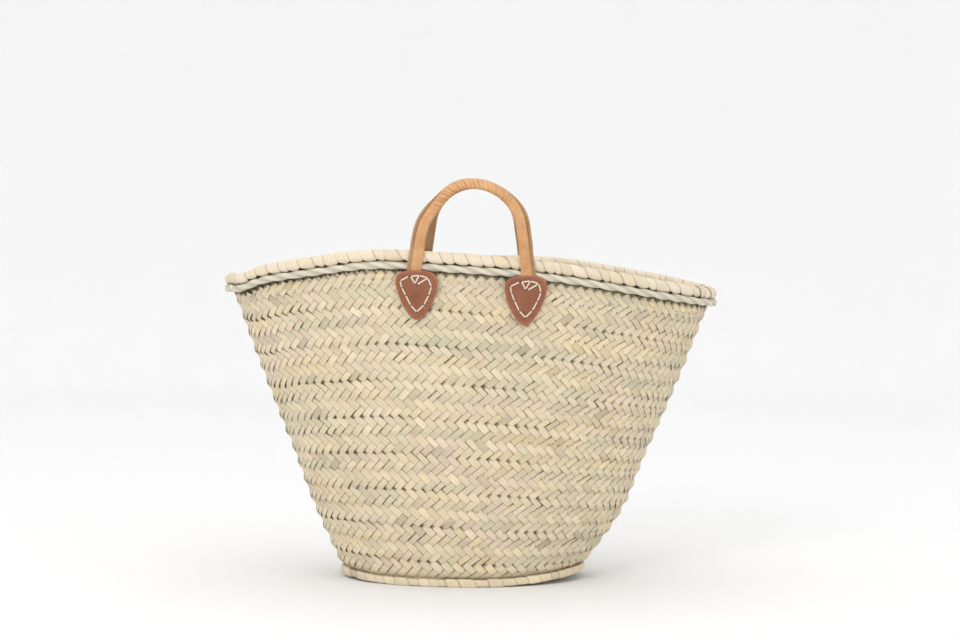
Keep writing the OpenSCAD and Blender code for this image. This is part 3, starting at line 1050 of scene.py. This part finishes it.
class HandleLine:
    """The middle line of a handle, from behind one patch up over the arch and down to the other."""

    def __init__(self, side):
        pos = np.array(JOINTS[f"{side}_handle_swing"]["pos_m"])
        self.middle, self.depth, self.bend = pos
        self.height = span(f"{side}_handle_cover")[1][2] - self.bend - GRIP_RADIUS
        self.facing = -1.0 if side == "front" else 1.0
        centre = np.array([self.middle, self.depth, self.bend + self.height - ARCH_RADIUS])
        straight = self.height - ARCH_RADIUS * (1 - math.sin(LEG_LEAN))
        self.foot = ARCH_RADIUS * math.cos(LEG_LEAN) + straight * math.tan(LEG_LEAN)
        left, right = (self.strap(side, hand) for hand in HANDS)
        angle = np.linspace(math.pi - LEG_LEAN, LEG_LEAN, 301)
        arch = centre + ARCH_RADIUS * np.stack([np.cos(angle), np.zeros(301), np.sin(angle)], 1)
        line = np.concatenate([left, arch, right[::-1]])
        length = np.concatenate([[0], np.cumsum(np.linalg.norm(np.diff(line, axis=0), axis=1))])
        at = np.linspace(0, length[-1], LINE_POINTS)
        self.path = np.stack([np.interp(at, length, line[:, k]) for k in range(3)], 1)
        self.length = at
        if side == "front":
            rise = (self.path[:, 2] - self.bend) / self.height
            leftward = np.clip((self.middle - self.path[:, 0]) / (30 * MM), 0, 1)
            pressed = np.exp(-((rise - 0.68) / 0.3) ** 2) * leftward
            self.path[:, 0] += 6.5 * MM * pressed
        along = np.gradient(self.path, axis=0)
        along[:, 1] = np.gradient(np.convolve(np.pad(self.path[:, 1], 6, "edge"), np.ones(13) / 13, "valid"))
        along = unit(along)
        face = np.broadcast_to([0.0, self.facing, 0.0], along.shape)
        self.side = unit(np.cross(face, along))
        self.front = unit(np.cross(along, self.side))
        flip = np.sign((self.front * face).sum(1, keepdims=True))
        self.front = self.front * flip
        flip = np.sign((self.side * (self.path - centre)).sum(1, keepdims=True))
        self.side = self.side * flip
        # 0 at the bend line and 1 at the top of the arch
        self.rise = (self.path[:, 2] - self.bend) / self.height
        self.from_bend = self.path[:, 2] - self.bend

    def tube(self, sections, colours):
        """A part swept along the whole line."""
        return tube(self.path, self.side, self.front, sections, 100, colours=colours)

    def strap(self, side, hand):
        """The flat end: down outside the rim and in behind the patch along the same curve as the patch."""
        where = LegPlace(side, hand)
        down = np.linspace(18 * MM, 0, 40)
        low = where.at(np.zeros(40), patch_out(down) - PATCH_HIGH + STRAP_OUT, down)
        height = np.linspace(low[-1][2], self.bend, 60)[1:]
        x = self.middle + (self.foot if hand == "right" else -self.foot)
        t = smooth((height - height[0]) / (self.bend - height[0]))
        upper = np.stack([low[-1][0] + (x - low[-1][0]) * t, low[-1][1] + (self.depth - low[-1][1]) * t, height], 1)
        return np.concatenate([low, upper])


def super_section(a, b, power, sides):
    """A closed outline |x/a|^n + |y/b|^n = 1 for each station: a flat strap at high n, a tube at n = 2."""
    angle = np.arange(sides) / sides * TAU
    c, s = np.cos(angle)[None], np.sin(angle)[None]
    e = 2 / power[:, None]
    return np.stack([a[:, None] * np.sign(c) * np.abs(c) ** e, b[:, None] * np.sign(s) * np.abs(s) ** e], -1)


def cover_part(line):
    """The leather over the rope: a flat strap that swells into a flat-faced leg and a round grip.

    Over the arch the twist of the rope shows as slanted ripples: r * (1 + depth * sin(2 pi (length /
    ripple - 3 * angle / turn))), deepest on the left shoulder and fading down the legs.
    """
    h = line.from_bend
    tube = smooth((h + 5 * MM) / (9 * MM))
    over = smooth((line.rise - 0.35) / 0.5)
    a = 5.4 * MM - 0.2 * MM * over
    b = STRAP_THICKNESS / 2 + (4.4 * MM - STRAP_THICKNESS / 2) * tube + 0.8 * MM * over
    power = 6 - 2.8 * tube - 1.0 * over
    sides = 36
    sections = super_section(a, b, power, sides)
    angle = np.arange(sides) / sides * TAU
    left = np.where(line.path[:, 0] < line.middle + 0.01, 1.0, 0.45)
    left = np.convolve(np.pad(left, 20, "edge"), np.ones(41) / 41, "valid")
    at = line.length[:, None]
    wave = np.sin(TAU * at / (4.6 * MM) - 3 * angle) + 0.4 * np.sin(TAU * at / (8.3 * MM) - 2 * angle + 1.0)
    ripple = 0.06 * wave * (over * left)[:, None] * (0.4 + 0.6 * np.abs(np.sin(angle)))[None]
    sections = sections * (1 + ripple)[..., None]
    # Painted shade: the ripples are shaded in the colour as well as in the shape, and the leather is a little
    # darker near the bend line
    shade = 1 + 3.0 * ripple - 0.05 * (1 - smooth((h - 2 * MM) / (20 * MM)))[:, None]
    # The face towards the basket's middle is darker, partly the leather's rough back and partly painted shade;
    # below the arch a band of painted shade runs down the outer side beside the seam
    under = 1 - 0.5 * smooth(-1.6 * np.sin(angle))[None]
    under = under * (1 - 0.45 * (1 - over)[:, None] * np.clip(np.cos(angle), 0, 1)[None] ** 6)
    tint = np.repeat((shade * under).reshape(-1, 1), 3, 1)
    return line.tube(sections, np.concatenate([tint, np.ones((2, 3))]))


def seam_part(line):
    """The two edges of the leather sewn together: a ridge on the outer side that fades over the arch."""
    h = line.from_bend
    over = smooth((line.rise - 0.45) / 0.5)
    reach = 3.3 * MM * (1 - 0.88 * over)
    inner = 5.1 * MM - 0.7 * MM * over
    thick = 1.15 * MM + 0.35 * MM * smooth((h + 4 * MM) / (8 * MM)) * (1 - over)
    middle = inner + reach / 2
    sections = super_section(reach / 2 + 0.5 * MM, thick, np.full(len(h), 3.0), 16)
    sections = sections + np.stack([middle, -0.9 * MM * smooth((h + 5 * MM) / (9 * MM))], -1)[:, None]
    angle = np.arange(16) / 16 * TAU
    shade = 0.60 + 0.12 * np.cos(angle)
    tint = np.repeat(np.tile(shade, len(h))[:, None], 3, 1)
    return line.tube(sections, np.concatenate([tint, np.full((2, 3), 0.8)]))


# ---- Operators -----------------------------------------------------------


class BasketStage(bpy.types.Operator):
    """Sets up the camera, the pale floor and the soft light"""

    bl_idname = "basket.stage"
    bl_label = "Stage"

    def execute(self, context):
        scene = context.scene
        data = bpy.data.cameras.new("camera")
        data.lens = 62.5
        data.sensor_width = 36.0
        camera = bpy.data.objects.new("camera", data)
        turn = Matrix.Rotation(math.radians(-0.313), 3, "Z") @ Matrix.Rotation(math.radians(89.924), 3, "X")
        turn = turn @ Matrix.Rotation(math.radians(0.513), 3, "Z")
        camera.matrix_world = Matrix.Translation((0.0, -1.769, 0.273)) @ turn.to_4x4()
        scene.collection.objects.link(camera)
        scene.camera = camera
        scene.view_settings.view_transform = "Standard"
        world = scene.world or bpy.data.worlds.new("world")
        scene.world = world
        world.use_nodes = True
        back = world.node_tree.nodes["Background"]
        back.inputs[0].default_value = (1.0, 1.0, 1.0, 1.0)
        back.inputs[1].default_value = 1.38
        for name, place_, size, power, aim in (
            ("key", (-1.2, -2.6, 1.7), 1.0, 22.0, (0.0, 0.0, 0.2)),
            ("fill", (1.9, -2.0, 1.0), 1.6, 6.0, (0.0, 0.0, 0.2)),
        ):
            lamp = bpy.data.lights.new(name, "AREA")
            lamp.size, lamp.energy = size, power
            light = bpy.data.objects.new(name, lamp)
            towards = np.array(aim) - np.array(place_)
            yaw = math.atan2(towards[0], -towards[1])
            pitch = math.atan2(math.hypot(towards[0], towards[1]), -towards[2])
            aimed = Euler((pitch, 0, yaw + math.pi)).to_matrix().to_4x4()
            light.matrix_world = Matrix.Translation(place_) @ aimed
            scene.collection.objects.link(light)
        stage_floor()
        return {"FINISHED"}


def stage_floor():
    """A floor that rolls up into a wall on every side: height = 0.6 * (distance past the edge)^2."""
    rings, count = 60, 96
    edge = 4.0
    radius = np.linspace(0.02, 9.0, rings)
    angle = np.arange(count) / count * TAU
    height = np.where(radius > edge, (radius - edge) ** 2 * 0.6, 0.0)
    r, a = np.meshgrid(radius, angle, indexing="ij")
    points = np.stack([r * np.cos(a), r * np.sin(a), np.broadcast_to(height[:, None], r.shape)], -1).reshape(-1, 3)
    points = np.concatenate([points, [[0, 0, 0]]])
    j = np.arange(count)
    hub = np.stack([j, (j + 1) % count, np.full(count, rings * count)], 1)
    f = Finish("floor")
    f.shade(Base_Color=(0.91, 0.91, 0.91), Roughness=0.85)
    quads = grid_quads(rings, count, ring=True)[:, ::-1]
    mesh = bpy.data.meshes.new("floor")
    mesh.from_pydata(points.tolist(), [], quads.tolist() + hub.tolist())
    mesh.polygons.foreach_set("use_smooth", np.ones(len(mesh.polygons), bool))
    mesh.materials.append(f.material)
    piece = bpy.data.objects.new("floor", mesh)
    bpy.context.scene.collection.objects.link(piece)


class BasketWall(bpy.types.Operator):
    """Plaits the wall, one piece for each turn"""

    bl_idname = "basket.wall"
    bl_label = "Wall"

    def execute(self, context):
        p = plait_sizes()
        rng = np.random.default_rng(p.seed)
        places = spiral_places(wall_surface, p.rows)
        places[1] = np.clip(places[1], 0, 0.955)
        count = len(WALL_TURNS)
        for k, node in enumerate(WALL_TURNS):
            part = plait_part(wall_surface, places, (k / count, (k + 1) / count), p.rows, rng)
            make_piece(f"plait_{k + 1}", part, "basket", finish("leaf"), [node])
        return {"FINISHED"}


class BasketBase(bpy.types.Operator):
    """Plaits the flat base"""

    bl_idname = "basket.base"
    bl_label = "Base"

    def execute(self, context):
        p = plait_sizes()
        rng = np.random.default_rng(p.seed + 1)
        places = spiral_places(base_surface, p.base_rows)
        places[1] = np.clip(places[1], 0, 0.955)
        part = plait_part(base_surface, places, (0.0, 1.0), p.base_rows, rng, curved=False)
        nodes = ["base_centre", "base_turn_1", "base_turn_2"]
        make_piece("base_plait", part, "basket", finish("leaf"), nodes)
        return {"FINISHED"}


def foot_path(turn):
    """Middle of the binding round the foot."""
    s = shape()
    edge = np.stack([s.foot_shift + s.foot_width * np.cos(turn), s.foot_depth * np.sin(turn),
                     4.0 * MM + foot_lift(turn)], -1)
    return edge + 2.9 * MM * foot_outward(turn)


def foot_section(angle):
    """A rounded upright oblong: |x / 0.75|^3.2 + |y|^3.2 = 1."""
    e = 2 / 3.2
    c, s = np.cos(angle), np.sin(angle)
    return 0.75 * np.sign(c) * np.abs(c) ** e, np.sign(s) * np.abs(s) ** e


class BasketFoot(bpy.types.Operator):
    """Folds the leaf binding round the foot"""

    bl_idname = "basket.foot"
    bl_label = "Foot binding"

    def execute(self, context):
        rng = np.random.default_rng(11)
        n = FOOT_STRIPS
        c = leaf_colours(np.ones(n), np.arange(n) / n * TAU, rng) * 1.04
        part = wound(foot_path, foot_outward, foot_section, 3.6 * MM, rng.uniform(0.6, 1.5, n), c, rng,
                     slant=-1, start=math.pi, relief=0.3 * MM, uneven=0.3 * MM)
        core = inner_rope(foot_path, foot_outward, foot_section, 2.2 * MM)
        make_piece("foot_binding", joined([core, part]), "basket", finish("rim_leaf"),
                   ["base_edge"])
        return {"FINISHED"}


def roll_path(turn):
    """Middle of the rolled rim, on top of the wall's edge."""
    return wall_surface(turn, np.ones_like(turn)) + ROLL_OUT * outward(turn) + ROLL_UP * UP


CORD_OUT = CORD_RADIUS + 0.4 * MM
CORD_UP = ROLL_UP - math.sqrt((ROLL_RADIUS + CORD_RADIUS + 0.2 * MM) ** 2 - (CORD_OUT - ROLL_OUT) ** 2)


def cord_path(turn):
    """Middle of the cord, under the roll on the outside."""
    return wall_surface(turn, np.ones_like(turn)) + CORD_OUT * outward(turn) + CORD_UP * UP


class BasketRim(bpy.types.Operator):
    """Winds the rim and lays the twisted cord under it"""

    bl_idname = "basket.rim"
    bl_label = "Rim"

    def execute(self, context):
        rng = np.random.default_rng(23)
        n = ROLL_STRIPS
        pale = leaf_colours(np.ones(n), np.arange(n) / n * TAU, rng)
        mix = rng.uniform(0.25, 1.0, (n, 1))
        c = pale + (colour("cream") - pale) * mix
        part = wound(roll_path, outward, round_section, ROLL_RADIUS - 0.35 * MM,
                     rng.uniform(0.45, 1.7, n), c, rng, slant=-1.1, relief=0.5 * MM, notch=0.42)
        core = inner_rope(roll_path, outward, round_section, ROLL_RADIUS - 1.3 * MM)
        make_piece("rim_winding", joined([core, part]), "basket", finish("rim_leaf"), ["rim_wrap"])
        cord = two_ply(cord_path, outward, 3.9 * MM, 40 * MM, 1400, colour("cord"), 14, 0.26)
        make_piece("rim_twisted_cord", cord, "basket", finish("cord"), ["rim_cord"])
        return {"FINISHED"}


class BasketSeamCords(bpy.types.Operator):
    """Lays the sewing cords inside the wall and on the base"""

    bl_idname = "basket.seam_cords"
    bl_label = "Seam cords"

    def execute(self, context):
        radius = 1.2 * MM
        inset = shape().thickness + radius + 0.4 * MM
        count = len(WALL_TURNS)
        parts = []
        for k in range(1, count):
            def path(turn, share=k / count):
                here, _, _, out = surface_frame(wall_surface, turn, np.full_like(turn, share))
                return here - out * inset
            parts.append(two_ply(path, outward, radius, 9 * MM, 640, colour("cord") * 0.9, 8))
        make_piece("wall_sewing", joined(parts), "basket", finish("cord"), ["wall_seam_cords"])
        box = span("base_seam_cords")
        parts = []
        for k in (1, 2):
            def path(turn, inset=k * BASE_BAND):
                s = shape()
                x = s.foot_shift + (s.foot_width - inset) * np.cos(turn)
                y = (s.foot_depth - inset) * np.sin(turn)
                height = (box[0][2] + box[1][2]) / 2 + foot_lift(turn) * (1 - inset / s.foot_depth) ** 2
                return np.stack([x, y, height], -1)
            parts.append(two_ply(path, foot_outward, radius, 9 * MM, 300, colour("cord") * 0.9, 8))
        make_piece("base_sewing", joined(parts), "basket", finish("cord"), ["base_seam_cords"])
        return {"FINISHED"}


class BasketHandles(bpy.types.Operator):
    """Covers the rope handles with sewn leather that bends over the rim"""

    bl_idname = "basket.handles"
    bl_label = "Handles"

    def execute(self, context):
        for side in SIDES:
            line = HandleLine(side)
            nodes = [f"{side}_handle_cover"] + [f"{side}_{hand}_strap_end" for hand in HANDS]
            cover = make_piece(f"{side}_handle_leather", cover_part(line), None, finish("tan"), nodes)
            seam = make_piece(f"{side}_handle_seam", seam_part(line), None, finish("tan"))
            for piece in (cover, seam):
                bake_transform(piece)
        return {"FINISHED"}


class BasketPatches(bpy.types.Operator):
    """Cuts the shield-shaped patches and sews them on"""

    bl_idname = "basket.patches"
    bl_label = "Patches"

    def execute(self, context):
        for side in SIDES:
            for hand in HANDS:
                where = LegPlace(side, hand)
                name = f"{side}_{hand}"
                make_piece(f"{name}_shield", patch_part(where), "basket", finish("brown"),
                           [f"{name}_patch"])
                pairs = list(zip(EDGE_HOLES[:-1], EDGE_HOLES[1:])) + list(zip(CREST_HOLES[:-1], CREST_HOLES[1:]))
                pairs.append(tuple(CREST_TAIL))
                parts = [stitch_part(where, a, b) for a, b in pairs]
                make_piece(f"{name}_thread", joined(parts), "basket", finish("thread"),
                           [f"{name}_stitches"])
                holes = np.concatenate([EDGE_HOLES, CREST_HOLES[1:2], CREST_TAIL[:1]])
                parts = [hole_part(where, h) for h in holes]
                make_piece(f"{name}_needle_holes", joined(parts), "basket", finish("hole"))
        return {"FINISHED"}


class BasketCores(bpy.types.Operator):
    """Lays the bundle of leaf inside the rim and the ropes inside the handles"""

    bl_idname = "basket.cores"
    bl_label = "Cores"

    def execute(self, context):
        part = inner_rope(roll_path, outward, round_section, BUNDLE_RADIUS)
        make_piece("rim_bundle", part, "basket", finish("fibre"), ["rim_core"])
        angle = np.arange(12) / 12 * TAU
        ring = ROPE_RADIUS * np.stack(round_section(angle), -1)
        for side in SIDES:
            line = HandleLine(side)
            held = line.from_bend > 6 * MM
            path = line.path[held]
            part = tube(path, line.side[held], line.front[held], np.repeat(ring[None], len(path), 0), 100)
            make_piece(f"{side}_handle_rope", part, f"{side}_handle", finish("fibre"),
                       [f"{side}_handle_core"])
        return {"FINISHED"}


class BasketPanel(bpy.types.Panel):
    """Lists the steps that make the basket"""

    bl_idname = "VIEW3D_PT_basket"
    bl_label = "Woven Market Basket"
    bl_space_type = "VIEW_3D"
    bl_region_type = "UI"
    bl_category = "Basket"

    def draw(self, context):
        for step in STEPS:
            self.layout.operator(step.bl_idname)
        for group in (context.scene.basket_shape, context.scene.basket_plait, context.scene.basket_colours):
            for key in group.bl_rna.properties.keys():
                if key not in ("rna_type", "name"):
                    self.layout.prop(group, key)


GROUPS = (BasketShape, PlaitSizes, BasketColours)
STEPS = (BasketStage, BasketWall, BasketBase, BasketFoot, BasketRim, BasketSeamCords, BasketHandles,
         BasketPatches, BasketCores)


def register():
    """Registers the settings, the steps and the panel."""
    for item in GROUPS + STEPS + (BasketPanel,):
        bpy.utils.register_class(item)
    bpy.types.Scene.basket_shape = bpy.props.PointerProperty(type=BasketShape)
    bpy.types.Scene.basket_plait = bpy.props.PointerProperty(type=PlaitSizes)
    bpy.types.Scene.basket_colours = bpy.props.PointerProperty(type=BasketColours)


def unregister():
    """Takes everything back out."""
    for name in ("basket_shape", "basket_plait", "basket_colours"):
        delattr(bpy.types.Scene, name)
    for item in reversed(GROUPS + STEPS + (BasketPanel,)):
        bpy.utils.unregister_class(item)


def main():
    """Makes the stage and every piece."""
    register()
    for step in STEPS:
        group, name = step.bl_idname.split(".")
        getattr(getattr(bpy.ops, group), name)()
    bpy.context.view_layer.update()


if __name__ == "__main__":
    main()
